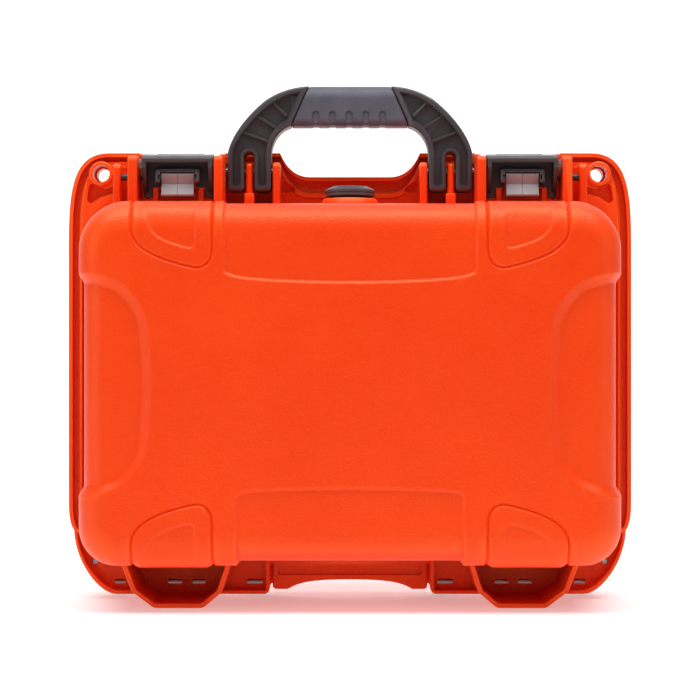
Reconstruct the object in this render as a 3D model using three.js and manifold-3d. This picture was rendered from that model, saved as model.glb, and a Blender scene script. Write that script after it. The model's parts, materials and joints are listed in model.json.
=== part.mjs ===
// Hard equipment case, standing on its hinge side with the handle up.
// Millimetres. X runs across the case, Y from the base's bottom face to the lid's top, Z up.
// The origin is the middle of the box at the height of the feet.

import * as THREE from 'three';
import { mergeVertices } from 'three/addons/utils/BufferGeometryUtils.js';
import Module from 'manifold-3d';

const wasm = await Module();
wasm.setup();

// ---- driving dimensions -------------------------------------------------------------------

const DEPTH = 173;
const FACE_Y = -DEPTH / 2;
const LID_TOP_Y = DEPTH / 2;
const PARTING_Y = 35.5;
const HALF_GAP = 0.2;
const CLEAR = 0.3;

const WALL = 3.2;
const BODY_HALF_WIDTH = 192;
const BODY_BOTTOM = 35;
const BODY_TOP = 291.6;
const BODY_CORNER = 31;
const BODY_FILLET = 22;
const DRAFT = 0.034;

const RIM_HALF_WIDTH = 205.2;
const RIM_TOP = 327;
const RIM_BOTTOM = 25;
const RIM_BACK = PARTING_Y - HALF_GAP;
const RIM_FRONT = PARTING_Y - 8;
const RIM_DIP = 304;
const SKIRT_HALF_WIDTH = 212;
const SKIRT_TOP = 334;
const SKIRT_LIP = 2.7;
const SKIRT_END = 54;
const LID_RIM_FRONT = PARTING_Y + HALF_GAP;
const LID_RIM_BACK = 45;

const GASKET_OFFSET = 4;
const GASKET_WIDTH = 5;
const GASKET_DEPTH = 3.2;

const HINGE_Y = 41.5;
const HINGE_Z = 11;
const HINGE_PIN_R = 1.75;
const KNUCKLE_R = 6.5;
const HINGE_BOX_INNER = 60;
const HINGE_BOX_BOTTOM = 4.2;
const HINGE_PLATE_FRONT = 27;
const HINGE_PLATE_BACK = 31;
const HINGE_LIP_FRONT = 12;
const HINGE_LIP = 3.6;
const BASE_KNUCKLES = [[79, 91], [119.5, 125.5], [155, 167], [178, 186]];
const LID_KNUCKLES = [[92, 107], [138, 154]];
const HINGE_SLOTS = [[65.8, 77.4], [108.8, 118.9], [126.2, 136.7], [168.7, 177]];
const TONGUE_HALF_WIDTH = 58.5;
const SCREW_X = 190;
const SCREW_Z = 30;

const POD_FRONT = -40;
const POD_BACK = 29;
const POD_WALL = 3.2;

const RIB_FRONT = -38;
const RIB_A = [167, 172.1];
const RIB_B = [153.6, 160.6];
const RIB_C = [91.7, 98.4];
const RIB_D = [51.5, 57];
const RIB_D_FRONT = -5;

const LATCH_X = 125;
const LEVER_HALF = 25.8;
const LEVER_WALL = 3.5;
const LEVER_Y = -6;
const LEVER_Z = 313;
const LATCH_PIN_R = 2.35;
const CLAW_Y = -9;
const CLAW_Z = 321;
const CLAW_PIN_R = 1.8;
const CLAW_HALF = 17.5;
const CLAW_HUB_R = 3.4;
const BAY = [97, 155];
const BAY_BASE_TOP = 318;
const BAY_LID_TOP = 324;

const HANDLE_Y = 6;
const HANDLE_Z = 318.5;
const HANDLE_PIN_R = 2.5;
const HANDLE_HALF = 11;
const PRONG_X = 74.3;
const PRONG_SLOT = 3.6;
const LUG_HALF = 2.6;

const EYE_X = 186.2;
const EYE_Z = 318;
const EYE_R = 9.3;
const EYE_HOLE_R = 6.3;
const EYE_FRONT = 19;
const EYE_BACK = 48;

const VALVE_Y = -10;
const VALVE_BOSS_TOP = 296.7;
const VALVE_CAP_R = 17.5;
const VALVE_STEM_R = 6;

const COLOURS = {
  orange: { color: 0xf04419, roughness: 0.5, metalness: 0 },
  black: { color: 0x3a3439, roughness: 0.5, metalness: 0 },
  grip: { color: 0x5b5a65, roughness: 0.75, metalness: 0 },
  lock: { color: 0x9a9496, roughness: 0.5, metalness: 0 },
  seal: { color: 0x1c1b1d, roughness: 0.9, metalness: 0 },
  steel: { color: 0xb9bbbe, roughness: 0.3, metalness: 1 },
};

// ---- solids -------------------------------------------------------------------------------

function solid(geometry) {
  const bare = geometry.index ? geometry.toNonIndexed() : geometry.clone();
  bare.deleteAttribute('normal');
  bare.deleteAttribute('uv');
  const merged = mergeVertices(bare, 1e-4);
  return new wasm.Manifold(new wasm.Mesh({
    numProp: 3,
    vertProperties: new Float32Array(merged.attributes.position.array),
    triVerts: new Uint32Array(merged.index.array),
  }));
}

function geometryOf(manifold) {
  const mesh = manifold.getMesh();
  const geometry = new THREE.BufferGeometry();
  geometry.setAttribute('position', new THREE.BufferAttribute(new Float32Array(mesh.vertProperties), 3));
  geometry.setIndex(new THREE.BufferAttribute(new Uint32Array(mesh.triVerts), 1));
  return geometry;
}

// The same solid on the other side of the plane x = 0.
function mirrored(manifold) {
  const mesh = manifold.getMesh();
  const vertProperties = new Float32Array(mesh.vertProperties);
  const triVerts = new Uint32Array(mesh.triVerts);
  for (let i = 0; i < vertProperties.length; i += 3) {
    vertProperties[i] *= -1;
  }
  for (let i = 0; i < triVerts.length; i += 3) {
    [triVerts[i], triVerts[i + 1]] = [triVerts[i + 1], triVerts[i]];
  }
  return new wasm.Manifold(new wasm.Mesh({ numProp: 3, vertProperties, triVerts }));
}

function onBothSides(manifold) {
  return manifold.add(mirrored(manifold));
}

function union(pieces) {
  return pieces.reduce((sum, piece) => sum.add(piece));
}

function box(x0, x1, y0, y1, z0, z1) {
  const geometry = new THREE.BoxGeometry(x1 - x0, y1 - y0, z1 - z0);
  geometry.translate((x0 + x1) / 2, (y0 + y1) / 2, (z0 + z1) / 2);
  return solid(geometry);
}

function polygon(points) {
  return new THREE.Shape(points.map(([a, b]) => new THREE.Vector2(a, b)));
}

// An outline given in X and Z, filled from y0 to y1.
function prismY(shape, y0, y1, curveSegments = 6) {
  const geometry = new THREE.ExtrudeGeometry(shape, { depth: y1 - y0, bevelEnabled: false, curveSegments });
  geometry.rotateX(Math.PI / 2);
  geometry.translate(0, y1, 0);
  return solid(geometry);
}

// An outline given in Y and Z, filled from x0 to x1.
function prismX(shape, x0, x1, curveSegments = 6) {
  const geometry = new THREE.ExtrudeGeometry(shape, { depth: x1 - x0, bevelEnabled: false, curveSegments });
  const turn = new THREE.Matrix4().makeBasis(
    new THREE.Vector3(0, 1, 0), new THREE.Vector3(0, 0, 1), new THREE.Vector3(1, 0, 0));
  geometry.applyMatrix4(turn);
  geometry.translate(x0, 0, 0);
  return solid(geometry);
}

function rodX(radius, x0, x1, y, z, sides = 20) {
  const geometry = new THREE.CylinderGeometry(radius, radius, x1 - x0, sides);
  geometry.rotateZ(Math.PI / 2);
  geometry.translate((x0 + x1) / 2, y, z);
  return solid(geometry);
}

function rodY(radius, y0, y1, x, z, sides = 24) {
  const geometry = new THREE.CylinderGeometry(radius, radius, y1 - y0, sides);
  geometry.translate(x, (y0 + y1) / 2, z);
  return solid(geometry);
}

// A turned piece on the vertical axis through (0, y); the profile is [radius, z] pairs.
function turned(profile, y, sides = 32) {
  const geometry = new THREE.LatheGeometry(profile.map(([r, z]) => new THREE.Vector2(r, z)), sides);
  geometry.rotateX(Math.PI / 2);
  geometry.translate(0, y, 0);
  return solid(geometry);
}

// The outline of the moulded body at depth y, moved in by inset, as a ring of points.
function bodyRing(y, inset) {
  const cornerSteps = 6;
  const spread = (y - (FACE_Y + BODY_FILLET)) * DRAFT - inset;
  const half = BODY_HALF_WIDTH + spread;
  const low = BODY_BOTTOM - spread;
  const high = BODY_TOP + spread;
  const radius = Math.max(BODY_CORNER - inset * 0.8, 9);
  const corners = [[1, 1, 0], [-1, 1, 1], [-1, -1, 2], [1, -1, 3]];
  const points = [];
  for (const [sx, sz, quarter] of corners) {
    const cx = sx * (half - radius);
    const cz = sz > 0 ? high - radius : low + radius;
    for (let i = 0; i <= cornerSteps; i += 1) {
      const angle = (quarter + i / cornerSteps) * Math.PI / 2;
      points.push(new THREE.Vector3(cx + radius * Math.cos(angle), y, cz + radius * Math.sin(angle)));
    }
  }
  return points;
}

// A closed skin through rings of equal length, capped flat at both ends.
function loft(rings) {
  const count = rings[0].length;
  const positions = rings.flat().flatMap((p) => [p.x, p.y, p.z]);
  const index = [];
  for (let r = 0; r + 1 < rings.length; r += 1) {
    for (let i = 0; i < count; i += 1) {
      const a = r * count + i;
      const b = r * count + (i + 1) % count;
      index.push(a, b, a + count, b, b + count, a + count);
    }
  }
  const last = (rings.length - 1) * count;
  for (let i = 1; i + 1 < count; i += 1) {
    index.push(0, i + 1, i);
    index.push(last, last + i, last + i + 1);
  }
  const geometry = new THREE.BufferGeometry();
  geometry.setAttribute('position', new THREE.Float32BufferAttribute(positions, 3));
  geometry.setIndex(index);
  const volume = solid(geometry);
  return volume.volume() > 0 ? volume : solid(flipped(geometry));
}

function flipped(geometry) {
  const turnedOver = geometry.clone();
  const index = turnedOver.index.array;
  for (let i = 0; i < index.length; i += 3) {
    [index[i], index[i + 1]] = [index[i + 1], index[i]];
  }
  return turnedOver;
}

// The tray of the base: a drafted box with a rounded edge at its closed face.
function tray(closedY, openY, inset) {
  const steps = 4;
  const rings = [];
  const inward = Math.sign(openY - closedY);
  const fillet = BODY_FILLET - inset;
  for (let i = 0; i <= steps; i += 1) {
    const angle = (i / steps) * Math.PI / 2;
    const y = closedY + inward * (inset + fillet * (1 - Math.cos(angle)));
    rings.push(bodyRingAt(y, inset + fillet * (1 - Math.sin(angle))));
  }
  rings.push(bodyRingAt(openY, inset));
  return loft(rings);
}

// The lid's draft runs the other way from the parting plane.
function bodyRingAt(y, inset) {
  const mirroredY = y > PARTING_Y ? 2 * PARTING_Y - y : y;
  return bodyRing(mirroredY, inset).map((p) => new THREE.Vector3(p.x, y, p.z));
}

// ---- outlines in X and Z --------------------------------------------------------------------

// The rim's outline, right half first, then the left half.
function rimOutline({ half, top, shoulder, side, dip, bay, bottom, foot }) {
  const right = [];
  const corner = new THREE.CubicBezierCurve(
    new THREE.Vector2(half, side), new THREE.Vector2(half, side + 42),
    new THREE.Vector2(half - 3, top), new THREE.Vector2(shoulder, top));
  const dipCurve = new THREE.QuadraticBezierCurve(
    new THREE.Vector2(51.5, top - 5), new THREE.Vector2(43, dip), new THREE.Vector2(30, dip));
  right.push([0, bottom], [foot, bottom]);
  right.push([half, foot === half ? bottom : SKIRT_END]);
  corner.getPoints(7).forEach((p) => right.push([p.x, p.y]));
  right.push([BAY[1], top], [BAY[1], bay], [BAY[0], bay], [BAY[0], top], [54, top]);
  dipCurve.getPoints(4).forEach((p) => right.push([p.x, p.y]));
  right.push([0, dip]);
  const left = right.slice(1, -1).reverse().map(([x, z]) => [-x, z]);
  return polygon([...right, ...left]);
}

// One hinge box: straight below, with the case's rounded lower corner outside.
function hingeBoxOutline(inset) {
  const outer = RIM_HALF_WIDTH - inset;
  const low = HINGE_BOX_BOTTOM + inset;
  const shape = new THREE.Shape();
  shape.moveTo(HINGE_BOX_INNER + inset, RIM_BOTTOM + 10);
  shape.lineTo(HINGE_BOX_INNER + inset, low);
  shape.lineTo(174 - inset, low);
  shape.bezierCurveTo(192 - inset, low, outer - 2, 32, outer, 56);
  shape.lineTo(outer - 12, 56);
  shape.lineTo(outer - 18, RIM_BOTTOM + 10);
  shape.closePath();
  return shape;
}

function podOutline(inset) {
  const slope = inset * 0.7;
  const roof = BODY_BOTTOM + 3;
  return polygon([
    [164.6 - inset, roof], [164.6 - inset, 31 + slope / 2], [157.4 - inset, 12 + slope / 2],
    [141.5 - slope / 2, inset], [105.9 + slope / 2, inset], [92.5 + inset, 11.3 + slope / 2],
    [86.6 + inset, 30.4], [86.6 + inset, roof]]);
}

// ---- base -----------------------------------------------------------------------------------

function hingeBox() {
  const plate = prismY(hingeBoxOutline(0), HINGE_PLATE_FRONT, RIM_BACK - 4.3);
  const lip = prismY(hingeBoxOutline(0), HINGE_LIP_FRONT, HINGE_PLATE_FRONT + 1)
    .subtract(prismY(hingeBoxOutline(HINGE_LIP), HINGE_LIP_FRONT - 1, HINGE_PLATE_FRONT));
  const knuckles = BASE_KNUCKLES.map(([x0, x1]) => rodX(KNUCKLE_R, x0, x1, HINGE_Y, HINGE_Z)
    .add(box(x0, x1, HINGE_PLATE_FRONT + 2, HINGE_Y, HINGE_Z - 4.5, HINGE_Z + KNUCKLE_R)));
  const slots = HINGE_SLOTS.map(([x0, x1]) => box(x0, x1, HINGE_PLATE_FRONT - 1,
    HINGE_PLATE_BACK + 1, HINGE_Z - 2.5, HINGE_Z + 2.5));
  const plateWithSlots = union([plate, lip]).subtract(union(slots));
  return union([plateWithSlots, ...knuckles]);
}

function pod() {
  return prismY(podOutline(0), POD_FRONT, POD_BACK);
}

// The feet are hollow and open towards the base's bottom face.
function podHollow() {
  return prismY(podOutline(POD_WALL), POD_FRONT - 1, POD_BACK - 4);
}

function ribProfile(front, top) {
  return polygon([
    [front, BODY_TOP - 4], [front, top - 3], [front + 3, top], [RIM_FRONT + 2, top],
    [RIM_FRONT + 2, BODY_TOP - 4]]);
}

function ribs() {
  const keeperX = 18.5;
  return union([
    prismX(ribProfile(RIB_FRONT, 321.5), ...RIB_A),
    prismX(ribProfile(RIB_FRONT, 326.5), ...RIB_B),
    prismX(ribProfile(RIB_FRONT, 326.5), ...RIB_C),
    prismX(ribProfile(RIB_D_FRONT, 324.6), ...RIB_D),
    prismX(ribProfile(-3, 324), PRONG_X - LUG_HALF, PRONG_X + LUG_HALF),
    box(LATCH_X - keeperX, LATCH_X - keeperX + 4, -34, -14, BODY_TOP - 3, 304),
    box(LATCH_X + keeperX - 4, LATCH_X + keeperX, -34, -14, BODY_TOP - 3, 304),
    box(LATCH_X - keeperX, LATCH_X + keeperX, -18, -14, BODY_TOP - 3, 304)
      .subtract(box(LATCH_X - 10, LATCH_X + 10, -19, -13, 296.5, 300)),
  ]);
}

function padlockEye(y0, y1) {
  return rodY(EYE_R, y0, y1, EYE_X, EYE_Z).add(
    prismY(polygon([[EYE_X - 22, 296], [EYE_X + 4, 296], [EYE_X + EYE_R - 1, EYE_Z - 4],
      [EYE_X - EYE_R + 2, EYE_Z + 5]]), y0, y1));
}

function eyeHole(y0, y1) {
  return rodY(EYE_HOLE_R, y0, y1, EYE_X, EYE_Z);
}

function baseShell() {
  const outline = rimOutline({
    half: RIM_HALF_WIDTH, top: RIM_TOP, shoulder: 178, side: 265, dip: RIM_DIP,
    bay: BAY_BASE_TOP, bottom: RIM_BOTTOM, foot: RIM_HALF_WIDTH - 9 });
  const side = union([hingeBox(), pod(), ribs(), padlockEye(EYE_FRONT, RIM_BACK)]).subtract(podHollow());
  const outside = union([
    tray(FACE_Y, RIM_BACK, 0),
    prismY(outline, RIM_FRONT, RIM_BACK),
    onBothSides(side),
    turned([[0, 288], [21.5, 288], [21.2, 292.5], [19.2, VALVE_BOSS_TOP], [0, VALVE_BOSS_TOP]], VALVE_Y),
  ]);
  const holes = onBothSides(union([
    eyeHole(EYE_FRONT - 1, RIM_BACK + 1),
    rodX(LATCH_PIN_R + CLEAR, RIB_C[0] - 0.01, RIB_A[1] + 1, LEVER_Y, LEVER_Z),
    rodX(HANDLE_PIN_R + CLEAR, RIB_D[0] - 1, RIB_C[1] + 1, HANDLE_Y, HANDLE_Z),
    rodX(HINGE_PIN_R + CLEAR, BASE_KNUCKLES[0][0] - 1, BASE_KNUCKLES[3][1] + 1, HINGE_Y, HINGE_Z),
    rodY(1.6, HINGE_PLATE_FRONT - 1, RIM_BACK + 1, SCREW_X, SCREW_Z, 16),
  ]));
  return outside
    .subtract(tray(FACE_Y, RIM_BACK + 1, WALL))
    .subtract(holes)
    .subtract(turned([[0, 270], [VALVE_STEM_R + CLEAR, 270], [VALVE_STEM_R + CLEAR, 310], [0, 310]], VALVE_Y));
}

// ---- lid ------------------------------------------------------------------------------------

function lidOutline(inset) {
  return rimOutline({
    half: SKIRT_HALF_WIDTH - inset, top: SKIRT_TOP - inset, shoulder: 181, side: 265,
    dip: 316 - inset, bay: BAY_LID_TOP - inset, bottom: RIM_BOTTOM, foot: RIM_HALF_WIDTH - 9 });
}

function lidHinge() {
  const plate = prismY(hingeBoxOutline(0), 50.5, 54.5).subtract(box(0, 230, 40, 60, 0, 7));
  const knuckles = LID_KNUCKLES.map(([x0, x1]) => rodX(KNUCKLE_R, x0, x1, HINGE_Y, HINGE_Z)
    .add(box(x0, x1, HINGE_Y, 52, HINGE_Z - 4, HINGE_Z + KNUCKLE_R)));
  return union([plate, ...knuckles]);
}

function tongue() {
  const shape = new THREE.Shape();
  shape.moveTo(-TONGUE_HALF_WIDTH, RIM_BOTTOM + 3);
  shape.lineTo(-TONGUE_HALF_WIDTH, 5.2);
  shape.lineTo(-49, 5.2);
  shape.quadraticCurveTo(-36, 12.4, 0, 12.4);
  shape.quadraticCurveTo(36, 12.4, 49, 5.2);
  shape.lineTo(TONGUE_HALF_WIDTH, 5.2);
  shape.lineTo(TONGUE_HALF_WIDTH, RIM_BOTTOM + 3);
  shape.closePath();
  return prismY(shape, LID_RIM_FRONT, LID_RIM_BACK)
    .subtract(box(-54, 54, LID_RIM_FRONT - 1, LID_RIM_FRONT + 3, 15.5, 23));
}

function lidSkirt() {
  const ring = prismY(lidOutline(0), RIM_FRONT, LID_RIM_FRONT + 1)
    .subtract(prismY(lidOutline(SKIRT_LIP), RIM_FRONT - 1, LID_RIM_FRONT + 2));
  const belowSkirt = box(-230, 230, RIM_FRONT - 1, LID_RIM_FRONT, -10, SKIRT_END);
  const latchBays = onBothSides(box(BAY[0] - 3, BAY[1] + 3, RIM_FRONT - 1, LID_RIM_FRONT, 300, 350));
  return ring.subtract(belowSkirt).subtract(latchBays);
}

function gasketRing(grow, y0, y1) {
  const at = (inset, a, b) => loft([a, b].map(
    (y) => bodyRingAt(PARTING_Y, inset).map((p) => new THREE.Vector3(p.x, y, p.z))));
  return at(-GASKET_OFFSET - grow, y0, y1).subtract(at(GASKET_WIDTH - GASKET_OFFSET + grow, y0 - 1, y1 + 1));
}

function lidShell() {
  const outside = union([
    tray(LID_TOP_Y, LID_RIM_FRONT, 0),
    prismY(lidOutline(0), LID_RIM_FRONT, LID_RIM_BACK),
    lidSkirt(),
    tongue(),
    onBothSides(union([lidHinge(), padlockEye(LID_RIM_FRONT, EYE_BACK)])),
  ]);
  const holes = onBothSides(union([
    eyeHole(RIM_FRONT - 2, EYE_BACK + 1),
    rodX(HINGE_PIN_R + CLEAR, LID_KNUCKLES[0][0] - 1, LID_KNUCKLES[1][1] + 1, HINGE_Y, HINGE_Z),
  ]));
  return outside
    .subtract(tray(LID_TOP_Y, LID_RIM_FRONT - 1, WALL))
    .subtract(gasketRing(CLEAR, LID_RIM_FRONT - 1, LID_RIM_FRONT + GASKET_DEPTH + CLEAR))
    .subtract(holes);
}

function lidGasket() {
  return gasketRing(0, LID_RIM_FRONT, LID_RIM_FRONT + GASKET_DEPTH);
}

// ---- hinge, valve -----------------------------------------------------------------------------

function hingePin() {
  return rodX(HINGE_PIN_R, HINGE_SLOTS[0][0] - 2, BASE_KNUCKLES[3][1], HINGE_Y, HINGE_Z, 16);
}

function hingeScrew() {
  return rodY(2.4, HINGE_PLATE_FRONT - 2.2, HINGE_PLATE_FRONT - CLEAR, SCREW_X, SCREW_Z, 20)
    .add(rodY(1.3, HINGE_PLATE_FRONT - 1, RIM_BACK - 1, SCREW_X, SCREW_Z, 12));
}

function valveCap() {
  const seat = VALVE_BOSS_TOP + 1.8;
  return turned([
    [0, 284], [VALVE_STEM_R, 284], [VALVE_STEM_R, seat], [VALVE_CAP_R, seat], [VALVE_CAP_R, seat + 4],
    [12.8, seat + 7.2], [0, seat + 7.2]], VALVE_Y);
}

function valveSeal() {
  const low = VALVE_BOSS_TOP + CLEAR;
  return turned([[VALVE_STEM_R + CLEAR, low], [16, low], [16, low + 1.2], [VALVE_STEM_R + CLEAR, low + 1.2],
    [VALVE_STEM_R + CLEAR, low]], VALVE_Y);
}

function valveNut() {
  const high = BODY_TOP - 2.5;
  const hexagon = turned([[0, high - 4], [10.5, high - 4], [10.5, high], [0, high]], VALVE_Y, 6);
  const bore = VALVE_STEM_R + CLEAR;
  return hexagon.subtract(turned([[0, high - 5], [bore, high - 5], [bore, high + 1], [0, high + 1]], VALVE_Y));
}

// ---- latch (right side) -----------------------------------------------------------------------

function leverShell() {
  const sideWall = polygon([
    [-36, 318], [-36, 326], [-16, 329], [-5, 328], [1, 322], [1, 309], [-4, 297], [-16, 297], [-28, 308]]);
  const outerWall = polygon([[-36, 322], [-36, 326], [-16, 329], [-16, 325]]);
  const cheek = polygon([[-35, 307], [-35, 324], [-17, 327], [-17, 307]]);
  const left = LATCH_X - LEVER_HALF;
  const right = LATCH_X + LEVER_HALF;
  const inner = LATCH_X - 12.4;
  const panel = union([
    box(left + 1, inner, -20, -16.5, 304.8, 326),
    box(left + 1, LATCH_X - 19, -20, -16.5, 297, 306),
  ]);
  const groove = box(LATCH_X - 14, LATCH_X + 14, -34.5, -16, 309.7, 313);
  return union([
    prismX(sideWall, left, left + LEVER_WALL),
    prismX(sideWall, right - LEVER_WALL, right),
    prismX(outerWall, left, right),
    prismX(cheek, LATCH_X - 16, inner),
    prismX(cheek, LATCH_X + 12.4, LATCH_X + 16),
    panel,
    mirrored(panel).translate([2 * LATCH_X, 0, 0]),
    box(LATCH_X - 16, LATCH_X + 16, -30, -16.5, 314.6, 317.4),
    box(LATCH_X - 16, LATCH_X + 16, -20, -16.5, 317, 326),
  ])
    .subtract(groove)
    .subtract(rodX(LATCH_PIN_R + CLEAR, left - 1, right + 1, LEVER_Y, LEVER_Z))
    .subtract(rodX(CLAW_PIN_R + CLEAR, left - 1, right + 1, CLAW_Y, CLAW_Z, 16));
}

function latchClaw() {
  const side = polygon([
    [-9, 317.6], [-3, 318], [3, 326.5], [46.3, 326.5], [46.3, 317.5], [50.3, 317.5], [50.3, 329],
    [48.3, 331], [0, 331], [-4, 327], [-9, 324.4]]);
  const x0 = LATCH_X - CLAW_HALF;
  const x1 = LATCH_X + CLAW_HALF;
  return prismX(side, x0, x1)
    .add(rodX(CLAW_HUB_R, x0, x1, CLAW_Y, CLAW_Z))
    .subtract(rodX(CLAW_PIN_R + CLEAR, x0 - 1, x1 + 1, CLAW_Y, CLAW_Z, 16));
}

function slideLock() {
  return union([
    box(LATCH_X - 11.8, LATCH_X + 11.8, -34, -26, 297, 314),
    box(LATCH_X - 13.7, LATCH_X + 13.7, -34, -25, 310, 312.7),
    box(LATCH_X - 9, LATCH_X + 9, -27, -18.6, 297, 299.5),
  ]);
}

function latchPin() {
  return rodX(LATCH_PIN_R, RIB_C[0] + 1, RIB_A[1] - 0.5, LEVER_Y, LEVER_Z);
}

function clawPin() {
  return rodX(CLAW_PIN_R, LATCH_X - LEVER_HALF + 0.5, LATCH_X + LEVER_HALF - 0.5, CLAW_Y, CLAW_Z, 16);
}

// ---- handle -------------------------------------------------------------------------------------

// The ends of the grip slant, wider at the hand's side.
function gripOutline(inset) {
  return polygon([[-43 + inset, 351], [43 - inset, 351], [30 - inset, 381], [-30 + inset, 381]]);
}

function handleArm() {
  const shape = new THREE.Shape();
  shape.moveTo(90.5, 306);
  shape.lineTo(90.5, 330);
  shape.bezierCurveTo(88, 345, 74, 361, 62, 370.5);
  shape.bezierCurveTo(52, 377, 42, 380, 30.5, 380.6);
  shape.lineTo(43.6, 351);
  shape.bezierCurveTo(52, 349, 57.5, 340, 58, 331);
  shape.lineTo(58, 306);
  shape.quadraticCurveTo(58, 303, 61, 303);
  shape.lineTo(87.5, 303);
  shape.quadraticCurveTo(90.5, 303, 90.5, 306);
  const slot = new THREE.Shape();
  slot.moveTo(PRONG_X - PRONG_SLOT, 300);
  slot.lineTo(PRONG_X + PRONG_SLOT, 300);
  slot.lineTo(PRONG_X + PRONG_SLOT, 328);
  slot.absarc(PRONG_X, 328, PRONG_SLOT, 0, Math.PI, false);
  slot.closePath();
  return prismY(shape, HANDLE_Y - HANDLE_HALF, HANDLE_Y + HANDLE_HALF)
    .subtract(prismY(slot, HANDLE_Y - 15, HANDLE_Y + 15))
    .subtract(rodX(HANDLE_PIN_R + CLEAR, 50, 98, HANDLE_Y, HANDLE_Z));
}

function handleBar(grow) {
  return box(-46, 46, HANDLE_Y - 7 - grow, HANDLE_Y + 7 + grow, 357 - grow, 375 + grow);
}

function handleFrame() {
  const core = handleBar(0).intersect(prismY(gripOutline(-4), HANDLE_Y - 20, HANDLE_Y + 20));
  return onBothSides(handleArm()).add(core);
}

function handleGrip() {
  return prismY(gripOutline(CLEAR), HANDLE_Y - 12, HANDLE_Y + 12).subtract(handleBar(CLEAR));
}

function handlePin() {
  return rodX(HANDLE_PIN_R, RIB_D[0] + 0.3, RIB_C[1] - 0.4, HANDLE_Y, HANDLE_Z);
}

// ---- assembly -----------------------------------------------------------------------------------

const group = new THREE.Group();

function addPiece(name, manifold, finish) {
  const material = new THREE.MeshStandardMaterial(COLOURS[finish]);
  const mesh = new THREE.Mesh(geometryOf(manifold), material);
  mesh.name = name;
  group.add(mesh);
}

function addPair(name, manifold, finish) {
  addPiece(`${name}_right`, manifold, finish);
  addPiece(`${name}_left`, mirrored(manifold), finish);
}

addPiece('base_shell', baseShell(), 'orange');
addPiece('lid_shell', lidShell(), 'orange');
addPiece('lid_gasket', lidGasket(), 'seal');
addPiece('valve_cap', valveCap(), 'black');
addPiece('valve_seal', valveSeal(), 'seal');
addPiece('valve_nut', valveNut(), 'black');
addPiece('handle_frame', handleFrame(), 'black');
addPiece('handle_grip', handleGrip(), 'grip');
addPair('hinge_pin', hingePin(), 'steel');
addPair('hinge_screw', hingeScrew(), 'steel');
addPair('handle_pin', handlePin(), 'steel');
addPair('latch_lever', leverShell(), 'black');
addPair('latch_claw', latchClaw(), 'black');
addPair('latch_slide_lock', slideLock(), 'lock');
addPair('latch_pin', latchPin(), 'steel');
addPair('claw_pin', clawPin(), 'steel');

export default group;
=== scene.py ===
"""Looks of the hard equipment case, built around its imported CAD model."""

import json
import math

import bmesh
import bpy
import numpy as np
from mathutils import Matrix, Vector
from mathutils.geometry import delaunay_2d_cdt


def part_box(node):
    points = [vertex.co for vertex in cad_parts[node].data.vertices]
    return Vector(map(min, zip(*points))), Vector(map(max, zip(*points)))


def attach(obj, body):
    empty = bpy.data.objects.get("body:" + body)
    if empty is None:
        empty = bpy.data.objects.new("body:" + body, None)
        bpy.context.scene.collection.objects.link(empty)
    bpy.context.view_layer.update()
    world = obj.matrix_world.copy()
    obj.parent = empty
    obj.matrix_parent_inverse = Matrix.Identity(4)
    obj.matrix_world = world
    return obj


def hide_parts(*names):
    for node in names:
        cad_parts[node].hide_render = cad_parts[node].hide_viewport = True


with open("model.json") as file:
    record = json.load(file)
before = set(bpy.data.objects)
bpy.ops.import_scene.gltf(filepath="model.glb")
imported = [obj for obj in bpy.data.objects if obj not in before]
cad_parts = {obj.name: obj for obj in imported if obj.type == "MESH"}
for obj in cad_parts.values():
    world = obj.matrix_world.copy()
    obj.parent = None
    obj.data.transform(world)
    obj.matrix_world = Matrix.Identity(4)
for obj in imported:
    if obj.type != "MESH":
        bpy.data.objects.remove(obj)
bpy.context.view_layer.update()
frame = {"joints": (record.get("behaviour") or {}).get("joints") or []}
MM = 0.001
SENSOR_WIDTH = 36          # mm
CAMERA_LENS = 108.864      # mm
CAMERA_PLACE = (0, -1.5645, 0.186)


# ---- places taken from the frame, in millimetres ----

def node_box(node):
    low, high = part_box(node)
    return [v / MM for v in low], [v / MM for v in high]


def joint_at(name):
    joint = next(j for j in frame["joints"] if j["name"] == name)
    return [v / MM for v in joint["pos_m"]]


BASE_LOW, BASE_HIGH = node_box("base_shell")
LID_HIGH = node_box("lid_shell")[1]
FACE_Y = BASE_LOW[1]
LID_TOP_Y = LID_HIGH[1]
SKIRT_HALF = LID_HIGH[0] - 0.5
RIM_HALF = BASE_HIGH[0] - 1.9
SKIRT_TOP = LID_HIGH[2]
RIM_TOP = BASE_HIGH[2]
PARTING_Y = 35.5
RIM_BACK = PARTING_Y - 0.2
RIM_FRONT = PARTING_Y - 8
LID_FRONT = PARTING_Y + 0.2
LID_RIM_BACK = 45
RIM_LIP = 1.9
SKIRT_END = 50.5

BODY_HALF = 192
BODY_BOTTOM = 33.2
BODY_TOP = 291.6
BODY_MID = (BODY_BOTTOM + BODY_TOP) / 2
PAD_MIDDLE = 160.9         # the lower corner pads mirror the upper ones about this height
CORNER = 31
CORNER_LOW = 23
FILLET = 22
DRAFT = 0.034
BASE_WALL = 4.8
LID_WALL = 3.4

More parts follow.
